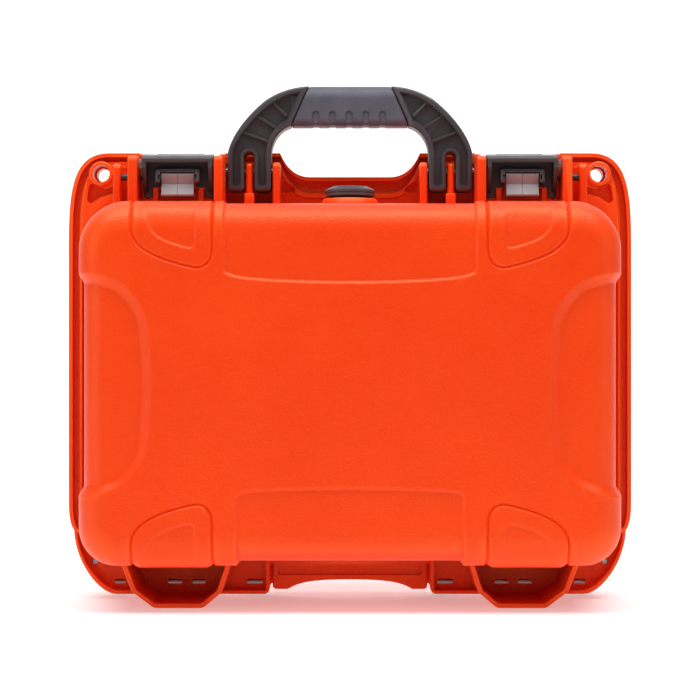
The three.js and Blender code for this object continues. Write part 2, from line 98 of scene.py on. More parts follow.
HINGE_Y, HINGE_Z = joint_at("lid_hinge")[1:]
HANDLE_Y, HANDLE_Z = joint_at("handle_fold")[1:]
LEVER_X, LEVER_Y, LEVER_Z = joint_at("latch_right_open")
CLAW_Y, CLAW_Z = joint_at("claw_right_swing")[1:]
VALVE_Y = joint_at("valve_turn")[1]
EYE_X, EYE_Z, EYE_R, EYE_HOLE = 186.2, 318, 9.3, 6.3
RIBS = ((168.4, 174.2, 323, LEVER_Y - 5), (153.6, 160.6, 326.5, -38),
        (91.7, 98.4, 326.5, -38), (51.5, 57.0, 324.6, -5))
BAY = (97, 155)
SCREW_X, SCREW_Z = 191.3, 27.3
KNUCKLE = 6.5              # radii of the hinge knuckles and of the bores
HINGE_BORE, LATCH_BORE, HANDLE_BORE, CLAW_BORE, VALVE_BORE = 2.05, 2.65, 2.8, 2.1, 6.3
HINGE_BOX_HALF = BASE_HIGH[0]


# ---- outlines ----

def rounded(corners, step=12):
    """Turns (a, b, radius) corners into points, with an arc of that radius at each."""
    points = []
    count = len(corners)
    for i, (a, b, radius) in enumerate(corners):
        here = np.array([a, b], float)
        back = np.array(corners[i - 1][:2], float) - here
        ahead = np.array(corners[(i + 1) % count][:2], float) - here
        if radius <= 0:
            points.append(tuple(here))
            continue
        u = back / np.linalg.norm(back)
        w = ahead / np.linalg.norm(ahead)
        angle = math.acos(max(-1, min(1, float(u @ w))))
        if angle > math.pi - 0.02:
            points.append(tuple(here))
            continue
        reach = radius / math.tan(angle / 2)
        reach = min(reach, 0.49 * np.linalg.norm(back), 0.49 * np.linalg.norm(ahead))
        r = reach * math.tan(angle / 2)
        middle = (u + w) / np.linalg.norm(u + w)
        centre = here + middle * (r / math.sin(angle / 2))
        start = here + u * reach - centre
        turn = math.pi - angle
        steps = max(2, math.ceil(math.degrees(turn) / step))
        sign = 1 if u[0] * w[1] - u[1] * w[0] < 0 else -1
        for k in range(steps + 1):
            t = sign * turn * k / steps
            c, s = math.cos(t), math.sin(t)
            points.append((centre[0] + c * start[0] - s * start[1], centre[1] + s * start[0] + c * start[1]))
    return points


def mirrored_outline(half):
    """Closes a right half, given from its lowest to its highest point on x = 0, with its mirror."""
    left = [(-c[0],) + tuple(c[1:]) for c in reversed(half) if c[0] > 1e-6]
    return list(half) + left


def bezier(p0, p1, p2, p3, steps):
    """Points along a cubic curve, without its first one."""
    points = []
    for k in range(1, steps + 1):
        t = k / steps
        w = ((1 - t) ** 3, 3 * t * (1 - t) ** 2, 3 * t * t * (1 - t), t ** 3)
        points.append(tuple(sum(w[i] * p[j] for i, p in enumerate((p0, p1, p2, p3))) for j in (0, 1)))
    return points


def dense(points, spacing):
    """The closed outline with no step longer than spacing."""
    out = []
    for i, p in enumerate(points):
        q = points[(i + 1) % len(points)]
        length = math.dist(p, q)
        parts = max(1, math.ceil(length / spacing))
        out += [(p[0] + (q[0] - p[0]) * k / parts, p[1] + (q[1] - p[1]) * k / parts) for k in range(parts)]
    return out


def offset(points, distance):
    """The closed outline moved outward by distance (inward where negative)."""
    p = np.array(points, float)
    ahead = np.roll(p, -1, 0) - p
    ahead /= np.maximum(np.linalg.norm(ahead, axis=1, keepdims=True), 1e-9)
    back = np.roll(ahead, 1, 0)
    tangent = ahead + back
    tangent /= np.maximum(np.linalg.norm(tangent, axis=1, keepdims=True), 1e-9)
    normal = np.stack([tangent[:, 1], -tangent[:, 0]], 1)
    stretch = 1 / np.maximum((normal * np.stack([ahead[:, 1], -ahead[:, 0]], 1)).sum(1), 0.5)
    x, y = p[:, 0], p[:, 1]
    area = (x * np.roll(y, -1) - np.roll(x, -1) * y).sum()
    sign = 1 if area > 0 else -1
    return [tuple(v) for v in p + normal * (sign * distance * stretch)[:, None]]


def inside_distance(q, outline):
    """Distance of each point to a closed outline, positive inside it."""
    a = np.array(outline, float)
    b = np.roll(a, -1, 0)
    best = np.full(len(q), 1e18)
    inside = np.zeros(len(q), bool)
    for (ax, ay), (bx, by) in zip(a, b):
        ex, ey = bx - ax, by - ay
        wx, wy = q[:, 0] - ax, q[:, 1] - ay
        t = np.clip((wx * ex + wy * ey) / max(ex * ex + ey * ey, 1e-12), 0, 1)
        best = np.minimum(best, (wx - t * ex) ** 2 + (wy - t * ey) ** 2)
        crosses = (ay > q[:, 1]) != (by > q[:, 1])
        if abs(ey) > 1e-12:
            inside ^= crosses & (q[:, 0] < ax + (q[:, 1] - ay) / ey * ex)
    return np.sqrt(best) * np.where(inside, 1, -1)


# ---- solids ----

def mesh_object(name, vertices, faces):
    mesh = bpy.data.meshes.new(name)
    mesh.from_pydata([tuple(c * MM for c in v) for v in vertices], [], faces)
    obj = bpy.data.objects.new(name, mesh)
    bpy.context.scene.collection.objects.link(obj)
    return obj


def fix_normals(obj):
    bm = bmesh.new()
    bm.from_mesh(obj.data)
    bmesh.ops.recalc_face_normals(bm, faces=bm.faces)
    if bm.calc_volume(signed=True) < 0:
        bmesh.ops.reverse_faces(bm, faces=bm.faces)
    bm.to_mesh(obj.data)
    bm.free()
    return obj


PLACE = {
    "x": lambda a, b, d: (d, a, b),
    "y": lambda a, b, d: (a, d, b),
    "z": lambda a, b, d: (a, b, d),
}


def prism(outline, low, high, axis="y", bevel=0.0, segments=3, sides=(True, True)):
    """An outline filled from low to high along an axis, with the rims of its ends rounded."""
    points = [p for i, p in enumerate(outline) if math.dist(p, outline[i - 1]) > 1e-4]
    count = len(points)
    place = PLACE[axis]
    vertices = [place(a, b, low) for a, b in points] + [place(a, b, high) for a, b in points]
    faces = [list(range(count)), list(range(2 * count - 1, count - 1, -1))]
    faces += [[i, i + count, (i + 1) % count + count, (i + 1) % count] for i in range(count)]
    obj = fix_normals(mesh_object("solid", vertices, faces))
    if bevel:
        bm = bmesh.new()
        bm.from_mesh(obj.data)
        ends = []
        for face in bm.faces:
            if len(face.verts) == count and count > 4 or abs(face.normal["xyz".index(axis)]) > 0.9:
                low_end = face.calc_center_median()["xyz".index(axis)] < (low + high) / 2 * MM
                if sides[0 if low_end else 1]:
                    ends += list(face.edges)
        bmesh.ops.bevel(bm, geom=list(dict.fromkeys(ends)), offset=bevel * MM, segments=segments,
                        profile=0.5, affect="EDGES", clamp_overlap=True)
        bm.to_mesh(obj.data)
        bm.free()
    return obj


def block(x0, x1, y0, y1, z0, z1, bevel=0.0, segments=2):
    """A box with all its edges rounded."""
    vertices = [(x, y, z) for x in (x0, x1) for y in (y0, y1) for z in (z0, z1)]
    faces = [(0, 1, 3, 2), (4, 6, 7, 5), (0, 4, 5, 1), (2, 3, 7, 6), (0, 2, 6, 4), (1, 5, 7, 3)]
    obj = fix_normals(mesh_object("solid", vertices, faces))
    if bevel:
        bm = bmesh.new()
        bm.from_mesh(obj.data)
        bmesh.ops.bevel(bm, geom=list(bm.edges), offset=bevel * MM, segments=segments, profile=0.5,
                        affect="EDGES", clamp_overlap=True)
        bm.to_mesh(obj.data)
        bm.free()
    return obj


def circle(a, b, radius, sides=48):
    return [(a + radius * math.cos(2 * math.pi * k / sides), b + radius * math.sin(2 * math.pi * k / sides))
            for k in range(sides)]


def turned(profile, centre, sides=64):
    """A solid turned about the vertical through centre; the profile starts and ends on the axis."""
    vertices, faces, rings = [], [], []
    for r, z in profile:
        if r < 1e-6:
            rings.append([len(vertices)])
            vertices.append((centre[0], centre[1], z))
            continue
        rings.append(list(range(len(vertices), len(vertices) + sides)))
        vertices += [(centre[0] + a, centre[1] + b, z) for a, b in circle(0, 0, r, sides)]
    for low, high in zip(rings, rings[1:]):
        for k in range(sides):
            quad = [low[k % len(low)], low[(k + 1) % len(low)],
                    high[(k + 1) % len(high)], high[k % len(high)]]
            faces.append(list(dict.fromkeys(quad)))
    return fix_normals(mesh_object("solid", vertices, faces))


def boolean(target, tool, operation):
    """Joins or cuts target with tool, and deletes tool."""
    modifier = target.modifiers.new("cut", "BOOLEAN")
    modifier.solver = "MANIFOLD"
    modifier.operation = operation
    modifier.object = tool
    depsgraph = bpy.context.evaluated_depsgraph_get()
    mesh = bpy.data.meshes.new_from_object(target.evaluated_get(depsgraph))
    target.modifiers.clear()
    old = target.data
    target.data = mesh
    bpy.data.meshes.remove(old)
    remove(tool)
    return target


def remove(obj):
    mesh = obj.data
    bpy.data.objects.remove(obj)
    bpy.data.meshes.remove(mesh)


def join(*solids):
    first = solids[0]
    for other in solids[1:]:
        boolean(first, other, "UNION")
    return first


def cut(target, *tools):
    for tool in tools:
        boolean(target, tool, "DIFFERENCE")
    return target


def mirrored(obj):
    """A copy of a solid on the other side of the plane x = 0."""
    copy = obj.copy()
    copy.data = obj.data.copy()
    bpy.context.scene.collection.objects.link(copy)
    bm = bmesh.new()
    bm.from_mesh(copy.data)
    for v in bm.verts:
        v.co.x = -v.co.x
    bmesh.ops.reverse_faces(bm, faces=bm.faces)
    bm.to_mesh(copy.data)
    bm.free()
    return copy


def both_sides(obj):
    return join(obj, mirrored(obj))


def smooth(obj, angle=32):
    """Smooth shading with creases where faces meet at more than angle degrees."""
    bm = bmesh.new()
    bm.from_mesh(obj.data)
    bmesh.ops.dissolve_degenerate(bm, dist=1e-7, edges=bm.edges)
    for face in bm.faces:
        face.smooth = True
    for edge in bm.edges:
        edge.smooth = len(edge.link_faces) == 2 and edge.calc_face_angle(0) < math.radians(angle)
    bm.to_mesh(obj.data)
    bm.free()
    weigh = obj.modifiers.new("weighted normals", "WEIGHTED_NORMAL")
    weigh.keep_sharp = True
    weigh.weight = 100
    return obj


def piece(obj, name, body, slot, material, *nodes, angle=32):
    """Names a finished solid, gives it its finish and makes it ride on its body."""
    smooth(obj, angle)
    obj.name = name
    obj.data.name = name
    obj.data.materials.clear()
    obj.data.materials.append(material)
    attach(obj, body)
    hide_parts(*nodes)
    return obj


# ---- moulded trays ----

FLAT_HALF = BODY_HALF - FILLET
FLAT_TALL = (BODY_TOP - BODY_BOTTOM) / 2 - FILLET
FLAT_CORNER = 13
FLAT_CORNER_LOW = 5
ARC = FILLET * math.pi / 2


def body_outline(w, h, high, low, step):
    """A rounded rectangle about the body's middle, with its own radius for the upper and lower corners."""
    right = [(w, BODY_MID - h, low), (w, BODY_MID + h, high)]
    left = [(-w, BODY_MID + h, high), (-w, BODY_MID - h, low)]
    return rounded(right + left, step)


class Tray:
    """A drafted tray unrolled onto the plane of its closed face.

    A point inside the flat middle stays where it is. Outside it, its distance to the flat runs first
    round the fillet and then along the wall.
    """

    def __init__(self, closed_y, open_y, features):
        self.closed_y = closed_y
        self.inward = 1 if open_y > closed_y else -1
        self.wall = abs(open_y - closed_y) - FILLET
        self.features = features
        self.reach = ARC + self.wall

    def flat_distance(self, q):
        """Distance to the flat's rounded outline, positive outside, and the direction away from it."""
        sign = np.sign(q - [0, BODY_MID])
        radius = np.where(q[:, 1] > BODY_MID, FLAT_CORNER, FLAT_CORNER_LOW)
        away = np.abs(q - [0, BODY_MID]) - [FLAT_HALF, FLAT_TALL] + radius[:, None]
        clipped = np.maximum(away, 0)
        length = np.linalg.norm(clipped, axis=1)
        distance = length + np.minimum(away.max(1), 0) - radius
        direction = clipped / np.maximum(length, 1e-9)[:, None] * sign
        return distance, direction

    def place(self, q):
        t, direction = self.flat_distance(q)
        t = np.maximum(t, 0)
        angle = np.minimum(t, ARC) / FILLET
        wall = np.maximum(t - ARC, 0)
        out = FILLET * np.sin(angle) + wall * DRAFT
        down = FILLET * (1 - np.cos(angle)) + wall
        foot = q - direction * t[:, None]
        normal = np.stack([direction[:, 0] * np.sin(angle), -self.inward * np.cos(angle),
                           direction[:, 1] * np.sin(angle)], 1)
        depth = np.zeros(len(q))
        for feature in self.features:
            depth += feature.depth(q, t)
        at = np.stack([foot[:, 0] + direction[:, 0] * out, self.closed_y + self.inward * down,
                       foot[:, 1] + direction[:, 1] * out], 1)
        return at - normal * depth[:, None]

    def edge(self):
        """The unrolled outline of the open side."""
        w, h = FLAT_HALF + self.reach, FLAT_TALL + self.reach
        return dense(body_outline(w, h, FLAT_CORNER + self.reach, FLAT_CORNER_LOW + self.reach, 3), 4)

    def solid(self, spacing=4.5):
        edge = self.edge()
        w, h = FLAT_HALF + self.reach, FLAT_TALL + self.reach
        xs = np.linspace(-w, w, int(2 * w / spacing) + 1)
        zs = np.linspace(BODY_MID - h, BODY_MID + h, int(2 * h / spacing) + 1)
        grid = np.array([(x, z) for x in xs for z in zs])
        distance, _ = self.flat_distance(grid)
        keep = distance < self.reach - spacing * 0.6
        lines = [line for feature in self.features for line in feature.lines()]
        for line in lines:
            keep &= np.abs(inside_distance(grid, line)) > spacing * 0.4
        points = list(edge)
        edges = [(i, (i + 1) % len(edge)) for i in range(len(edge))]
        for line in lines:
            q = np.array(line)
            ok = self.flat_distance(q)[0] < self.reach - 1.5
            start = len(points)
            points += [tuple(p) for p in q]
            count = len(q)
            edges += [(start + i, start + (i + 1) % count) for i in range(count)
                      if ok[i] and ok[(i + 1) % count]]
        points += [tuple(p) for p in grid[keep]]
        flat, _, faces, *_ = delaunay_2d_cdt([Vector(p) for p in points], edges, [], 0, 1e-4)
        q = np.array([(p.x, p.y) for p in flat])
        distance, _ = self.flat_distance(q)
        inner = distance < self.reach + 1e-3
        faces = [f for f in faces if all(inner[i] for i in f)]
        at = self.place(q)
        skin = mesh_object("tray", at, [list(f) for f in faces])
        return self.closed(skin)

    def closed(self, skin):
        """Fills the open side, which lies in one plane."""
        bm = bmesh.new()
        bm.from_mesh(skin.data)
        bmesh.ops.delete(bm, geom=[v for v in bm.verts if not v.link_faces], context="VERTS")
        rim = [e for e in bm.edges if e.is_boundary]
        bmesh.ops.holes_fill(bm, edges=rim, sides=0)
        bm.to_mesh(skin.data)
        bm.free()
        return fix_normals(skin)


def ease(value):
    s = np.clip(value, 0, 1)
    return s * s * (3 - 2 * s)


class Recess:
    """A flat-bottomed recess with a sloping edge, deep below the surface. Negative deep raises it.

    It fades in past since and out before until, which are distances from the flat middle of the tray.
    """

    def __init__(self, outline, deep, slope, since=-1e9, until=1e9, fade=5.0):
        self.outline = outline
        self.deep = deep
        self.slope = slope
        self.since = since
        self.until = until
        self.fade = fade

    def depth(self, q, t):
        shape = ease(inside_distance(q, self.outline) / self.slope)
        return self.deep * shape * ease((t - self.since) / self.fade) * ease((self.until - t) / self.fade)

    def lines(self):
        marks = (0.7, 0, -0.35 * self.slope, -0.65 * self.slope, -self.slope, -self.slope - 0.7)
        return [offset(self.outline, m) for m in marks]


class Groove:
    """A round-bottomed groove along an outline."""

    def __init__(self, outline, deep, width):
        self.outline = outline
        self.deep = deep
        self.width = width

    def depth(self, q, t):
        s = np.clip(1 - np.abs(inside_distance(q, self.outline)) / (self.width / 2), 0, 1)
        return self.deep * s * s * (3 - 2 * s)

    def lines(self):
        half = self.width / 2
        ways = (-half - 0.6, -half, -half / 2, 0, half / 2, half, half + 0.6)
        return [offset(self.outline, way) for way in ways]


def both(outline):
    return [outline, [(-a, b) for a, b in reversed(outline)]]


def scallop():
    """The grip recess in each side: a long bulge that runs off the edge."""
    far = 330
    return dense(rounded([(far, 83, 0), (184, 83, 30), (160, 88, 26), (141.5, 108, 60), (138.2, 161, 90),
                          (141.5, 213, 60), (160, 234.5, 26), (184, 240, 30), (far, 240, 0)], 6), 5)


def panel(low, middle, high, half, edge_radius):
    """A panel with straight sides and one long curved edge, from low or high towards the middle."""
    bow = [(half * math.cos(math.pi * k / 12), middle + (low - middle) * math.sin(math.pi * k / 12))
           for k in range(2, 11)]
    corners = [(half, high, 0)] + [(half, middle, edge_radius)]
    corners += [(a, b, 0) for a, b in bow] + [(-half, middle, edge_radius), (-half, high, 0)]
    return dense(rounded(corners, 10), 6)


def pad_groove(mirror_z):
    """The outline of a corner pad, open towards the edge of the case."""
    points = [(153.3, 400), (153.3, 272)] + bezier((153.3, 272), (153, 258), (138, 250.5), (112, 244.4), 14)
    points += bezier((112, 244.4), (103, 242), (96.5, 246), (96.5, 258), 8) + [(96.5, 400)]
    return dense([(a, mirror_z(b)) for a, b in points], 5)


def pad_hollow(mirror_z):
    points = [(143, 310), (143, 280)] + bezier((143, 280), (142.5, 266), (134, 261.5), (115, 256.6), 10)
    points += bezier((115, 256.6), (109, 254.9), (107.2, 257.5), (107.4, 266), 6) + [(108, 280), (108, 310)]
    return dense([(a, mirror_z(b)) for a, b in points], 4)


def bumper():
    """The part of a lower pad that stands proud of the bottom wall, over the foot."""
    return dense(rounded([(97.5, 55, 0), (97.5, -120, 0), (152.5, -120, 0), (152.5, 55, 0)]), 5)


def under_middle():
    """The bottom wall between the lower pads, which lies a little higher than the corners."""
    return dense(rounded([(-80.7, 60, 0), (-80.7, -120, 0), (80.7, -120, 0), (80.7, 60, 0)]), 6)


def upright(z):
    return z


def upside_down(z):
    return 2 * PAD_MIDDLE - z


def base_features():
    features = []
    for outline in both(scallop()):
        features.append(Recess(outline, 3.9, 7, until=ARC + 64, fade=6))
    features.append(Recess(panel(232, 239, 420, 89.8, 6), 1.7, 2.4))
    features.append(Recess(panel(90.5, 86.6, -90, 80.7, 6), 1.7, 2.4))
    for flip in (upright, upside_down):
        for outline in both(pad_groove(flip)):
            features.append(Groove(outline, 1.5, 3.4))
        for outline in both(pad_hollow(flip)):
            features.append(Recess(outline, 1.2, 2.0, until=19, fade=11))
    for outline in both(bumper()):
        features.append(Recess(outline, -1.4, 4, since=12, fade=12))
    features.append(Recess(under_middle(), 1.9, 4, since=10, fade=10))
    return features


def lid_features():
    features = []
    for outline in both(scallop()):
        features.append(Recess(outline, 2.4, 5, until=ARC + 13, fade=5))
    middle = dense(rounded([(118, 108, 8), (118, 214, 8), (-118, 214, 8), (-118, 108, 8)], 10), 8)
    features.append(Recess(middle, 1.2, 2.6))
    for flip in (upright, upside_down):
        for outline in both(pad_groove(flip)):
            features.append(Groove(outline, 1.0, 3.6))
        for outline in both(pad_hollow(flip)):
            features.append(Recess(outline, 1.2, 2.0, until=19, fade=11))
    return features


def cavity(closed_y, open_y, wall):
    """The inside of a tray, as a solid to cut away."""
    inward = 1 if open_y > closed_y else -1
    steps = 8
    rings = []
    fillet = FILLET - wall
    for i in range(steps + 1):
        angle = i / steps * math.pi / 2
        y = closed_y + inward * (wall + fillet * (1 - math.cos(angle)))
        rings.append((y, wall + fillet * (1 - math.sin(angle))))
    rings.append((open_y, wall))
    vertices, count = [], 0
    for y, inset in rings:
        depth = abs(y - closed_y) - FILLET
        spread = max(depth, -FILLET) * DRAFT - inset
        w, h = BODY_HALF + spread, (BODY_TOP - BODY_BOTTOM) / 2 + spread
        ring = body_outline(w, h, CORNER - inset * 0.8, CORNER_LOW - inset * 0.8, 6)
        count = len(ring)
        vertices += [(x, y, z) for x, z in ring]
    faces = [list(range(count)), list(range(len(vertices) - 1, len(vertices) - count - 1, -1))]
    for r in range(len(rings) - 1):
        for i in range(count):
            a, b = r * count + i, r * count + (i + 1) % count
            faces.append([a, b, b + count, a + count])
    return fix_normals(mesh_object("cavity", vertices, faces))


# ---- rims and other outlines of the shells ----

def rim_outline(half, top, shoulder, dip, bay, bottom, foot):
    """The rim seen from the front: rounded shoulders, latch bays and the dip under the handle."""
    right = [(0, bottom), (foot, bottom), (half - 4, SKIRT_END)]
    right += bezier((half - 4, SKIRT_END), (half - 1.5, 54), (half, 60), (half, 72), 8) + [(half, 265)]
    right += bezier((half, 265), (half, 307), (half - 3, top), (shoulder, top), 16)
    right += rounded([(BAY[1], top, 2), (BAY[1] - 1.5, bay, 2), (BAY[0] + 1.5, bay, 2), (BAY[0], top, 2)])
    right += [(52.5, top)]
    right += bezier((52.5, top), (50, top - 6), (44, dip), (30, dip), 12)
    right += [(0, dip)]
    return mirrored_outline([(a, b) for a, b in right])


def base_rim():
    return rim_outline(RIM_HALF, RIM_TOP, 178, 304, 318, 25, RIM_HALF - 9)


def lid_rim(inset=0.0):
    return rim_outline(SKIRT_HALF - inset, SKIRT_TOP - inset, 181, 316 - inset, 324 - inset, 25,
                       RIM_HALF - 9)


def hinge_box_outline(inset=0.0, wider=0.0):
    """The hinge box from the front; its outer side follows the lower corner of the case."""
    low = 4.2 + inset
    outer = HINGE_BOX_HALF + wider - inset
    top = SKIRT_END + 1.5 - inset
    bend = (174 - inset, low)
    points = rounded([(60 + inset, 36, 0), (60 + inset, low, max(4 - inset, 1)), (*bend, 0)])
    points += bezier(bend, (187 - inset, low), (outer - 1.6, 28), (outer - 1, top), 16)
    return points + [(outer - 12, top), (outer - 20, 36)]


def pod_outline(inset=0.0):
    s = inset * 0.7
    return rounded([
        (164.6 - inset, 38, 0), (164.6 - inset, 31 + s / 2, 3), (157.4 - inset, 12 + s / 2, 5),
        (141.5 - s / 2, inset, 6), (105.9 + s / 2, inset, 6), (92.5 + inset, 11.3 + s / 2, 5),
        (86.6 + inset, 30.4, 3), (86.6 + inset, 38, 0)], 10)


def rod_x(radius, x0, x1, y, z, bevel=0.0, sides=32):
    return prism(circle(y, z, radius, sides), x0, x1, "x", bevel, 2)


def rod_y(radius, y0, y1, x, z, bevel=0.0, sides=48):
    return prism(circle(x, z, radius, sides), y0, y1, "y", bevel, 3)


# ---- base shell ----

def rib(x0, x1, top, front):
    profile = rounded([(front, BODY_TOP - 4, 0), (front, top, 4), (RIM_FRONT + 2, top, 0),
                       (RIM_FRONT + 2, BODY_TOP - 4, 0)])
    return prism(profile, x0, x1, "x", 1.5)


def base_side():
    """Everything moulded onto the right half of the base."""
    box_lip = cut(prism(hinge_box_outline(0, 1.4), 12, 27.4, "y", 0.8, sides=(True, False)),
                  prism(hinge_box_outline(2.5, 1.4), 11, 27, "y"))
    plate = prism(hinge_box_outline(), 27, 31, "y", 0.6, sides=(False, True))
    hinge = join(plate, box_lip)
    for x0, x1, chamfer in ((79, 91, 0.5), (119.5, 125.5, 0.5), (155, 167, 0.5), (178, 186, 3.5)):
        join(hinge, rod_x(KNUCKLE, x0, x1, HINGE_Y, HINGE_Z, chamfer),
             block(x0, x1, 29, HINGE_Y, HINGE_Z - 4.5, HINGE_Z + 6.2, 0.3, 1))
    foot = prism(pod_outline(), -40, 29, "y", 0.9, sides=(True, False))
    side = join(hinge, foot)
    cut(side, prism(pod_outline(3.2), -41, 25, "y"))
    slots = [block(x0, x1, 24, 33, HINGE_Z - 1.6, HINGE_Z + 3)
             for x0, x1 in ((65.8, 77.4), (108.8, 118.9), (126.2, 136.7), (168.7, 177))]
    cut(side, *slots)
    for x0, x1, top, front in RIBS:
        join(side, rib(x0, x1, top, front))
    lug = rounded([(-3, 288, 0), (-3, 324, 2.4), (29, 324, 0), (29, 288, 0)])
    join(side, prism(lug, 71.7, 76.9, "x", 2.2, 4), block(70.6, 78, -4, 28, 288, 301.5, 0.8))
    join(side, keeper(), padlock_eye(19, RIM_BACK))
    return side


def keeper():
    """The frame that the slide lock's tongue slips into."""
    x0, x1 = LEVER_X - 18.5, LEVER_X + 18.5
    bar = cut(block(x0, x1, -18, -14, 288, 304, 0.4),
              block(LEVER_X - 10, LEVER_X + 10, -19, -13, 296.5, 300))
    return join(bar, block(x0, x0 + 4, -23, -14, 288, 304, 0.6), block(x1 - 4, x1, -23, -14, 288, 304, 0.6))


def eye_web(y0, y1, sides):
    """The web that carries the padlock ring between the rim, the body and the outermost rib."""
    low = BODY_TOP - 30
    outline = rounded([
        (168, BODY_TOP - 4, 0), (194, low, 0), (201.8, low, 0), (201, 282, 20), (200, 296, 20),
        (198.2, 310.5, 16), (EYE_X + EYE_R - 0.6, EYE_Z + 1, 6), (EYE_X + 2, EYE_Z + EYE_R - 1, 6),
        (168, EYE_Z + EYE_R - 4, 0)])
    return prism(outline, y0, y1, "y", 1.0, sides=sides)


def padlock_eye(y0, y1):
    """A ring on a web, which has a three-cornered pocket under the ring."""
    ring = rod_y(EYE_R, y0, y1, EYE_X, EYE_Z, 1.6)
    pocket = rounded([
        (174, 309.6, 0.5), (183.8, 306.3, 4), (190, 310, 3), (195.2, 310.8, 2.5), (197.2, 298, 2.5),
        (194.2, 295.6, 2.5), (187, 300.4, 8), (174, 304.4, 0.5)])
    return cut(join(eye_web(y0 + 2.2, y1, (True, False)), ring), prism(pocket, y0 - 1, y0 + 9, "y"))


def base_shell():
    shell = Tray(FACE_Y, RIM_BACK, base_features()).solid()
    flange = prism(base_rim(), RIM_FRONT, RIM_BACK, "y", 0.7)
    boss = turned([(0, 286), (22, 286), (21.4, 292.5), (20.2, 295.4), (19.2, 296.7), (0, 296.7)],
                  (0, VALVE_Y))
    gusset = prism(rounded([(37, 304.6, 2), (50.6, 304.6, 1.5), (50.6, 314.5, 2)]),
                   RIM_FRONT - 1, RIM_FRONT + 5, "y")
    half = [(0, 285), (51.3, 285), (51.3, 318)]
    half += bezier((51.3, 318), (48, 311), (42, 300.6), (30, 300.6), 12) + [(0, 300.6)]
    step = prism(mirrored_outline(half), RIM_FRONT - 1, RIM_FRONT + 1.4, "y")
    lip = RIM_HALF - RIM_LIP
    channel = prism([(194, 60), (lip, 68), (lip, 252), (196.5, 262), (194, 262)],
                    RIM_FRONT - 1, RIM_BACK - 2.4, "y")
    cut(flange, step, both_sides(gusset), both_sides(channel))
    join(shell, join(flange, both_sides(base_side()), boss))
    cut(shell, cavity(FACE_Y, RIM_BACK + 1, BASE_WALL))
    holes = join(rod_y(EYE_HOLE, 17, 37, EYE_X, EYE_Z), rod_y(1.6, 26, 36, SCREW_X, SCREW_Z),
                 rod_x(LATCH_BORE, 91.5, 173, LEVER_Y, LEVER_Z),
                 rod_x(HANDLE_BORE, 50, 99, HANDLE_Y, HANDLE_Z),
                 rod_x(HINGE_BORE, 78, 187, HINGE_Y, HINGE_Z))
    bore = turned([(0, 270), (VALVE_BORE, 270), (VALVE_BORE, 310), (0, 310)], (0, VALVE_Y))
    cut(shell, both_sides(holes), bore)
    return shell


# ---- lid shell ----

def lid_side():
    plate = cut(prism(hinge_box_outline(), 50.5, 54.5, "y", 0.8), block(0, 230, 40, 60, 0, 7))
    join(plate, block(50, 64, 51, 54, 8, 34, 0.4))
    for x0, x1 in ((92, 107), (138, 154)):
        join(plate, rod_x(KNUCKLE, x0, x1, HINGE_Y, HINGE_Z, 0.5),
             block(x0, x1, HINGE_Y, 52, HINGE_Z - 4, HINGE_Z + 6.2, 0.3, 1))
    return join(plate, padlock_eye_lid())


def padlock_eye_lid():
    return join(rod_y(EYE_R, LID_FRONT, 48, EYE_X, EYE_Z, 1.0), eye_web(LID_FRONT, 48, (False, True)))


def tongue():
    """The lower middle of the lid, between the hinge boxes."""
    half = [(0, 12.4)] + bezier((0, 12.4), (26, 12.4), (38, 11), (47, 5.2), 12)
    half += rounded([(52, 5.2, 0), (58.5, 5.2, 3), (58.5, 28, 0)])
    body = prism(mirrored_outline(half + [(0, 28)]), LID_FRONT, LID_RIM_BACK, "y", 0.8)
    hollow = rounded([(-54.5, 15.8, 2), (54.5, 15.8, 2), (54.5, 23, 2), (-54.5, 23, 2)])
    return cut(body, prism(hollow, LID_FRONT - 1, LID_FRONT + 3, "y"))


def skirt():
    """The edge of the lid round the base's rim, open at the latches."""
    ring = cut(prism(lid_rim(), RIM_FRONT, LID_FRONT + 1, "y", 0.9, sides=(True, False)),
               prism(lid_rim(2.9), RIM_FRONT - 1, LID_FRONT + 2, "y"))
    bay = block(BAY[0] - 3, BAY[1] + 3, RIM_FRONT - 1, LID_FRONT, 300, 350)
    return cut(ring, block(-230, 230, RIM_FRONT - 1, LID_FRONT, -10, SKIRT_END), both_sides(bay))


def gasket_ring(grow, y0, y1, bevel=0.0):
    def ring(inset):
        spread = (PARTING_Y - FACE_Y - FILLET) * DRAFT - inset
        w, h = BODY_HALF + spread, (BODY_TOP - BODY_BOTTOM) / 2 + spread
        return body_outline(w, h, CORNER - inset * 0.8, CORNER_LOW - inset * 0.8, 5)
    outer = prism(ring(-4 - grow), y0, y1, "y", bevel)
    return cut(outer, prism(ring(1 + grow), y0 - 1, y1 + 1, "y"))


def lid_shell():
    shell = Tray(LID_TOP_Y, LID_FRONT, lid_features()).solid()
    flange = prism(lid_rim(), LID_FRONT, LID_RIM_BACK, "y", 1.4, sides=(False, True))
    join(shell, join(flange, skirt(), tongue(), both_sides(lid_side())))
    cut(shell, cavity(LID_TOP_Y, LID_FRONT - 1, LID_WALL), gasket_ring(0.3, LID_FRONT - 1, LID_FRONT + 3.5))
    holes = join(rod_y(EYE_HOLE - 1.2, 25, 50, EYE_X, EYE_Z), rod_x(HINGE_BORE, 91, 155, HINGE_Y, HINGE_Z))
    cut(shell, both_sides(holes))
    return shell


# ---- handle ----

HANDLE_FRONT = HANDLE_Y - 11
HANDLE_BACK = HANDLE_Y + 11
FORK_X, FORK_Z = 74.3, 328


def fork_arc(radius):
    """The half circle over the gap between an arm's two prongs."""
    angles = [math.pi * (1 - k / 12) for k in range(13)]
    return [(FORK_X + radius * math.cos(a), FORK_Z + radius * math.sin(a)) for a in angles]


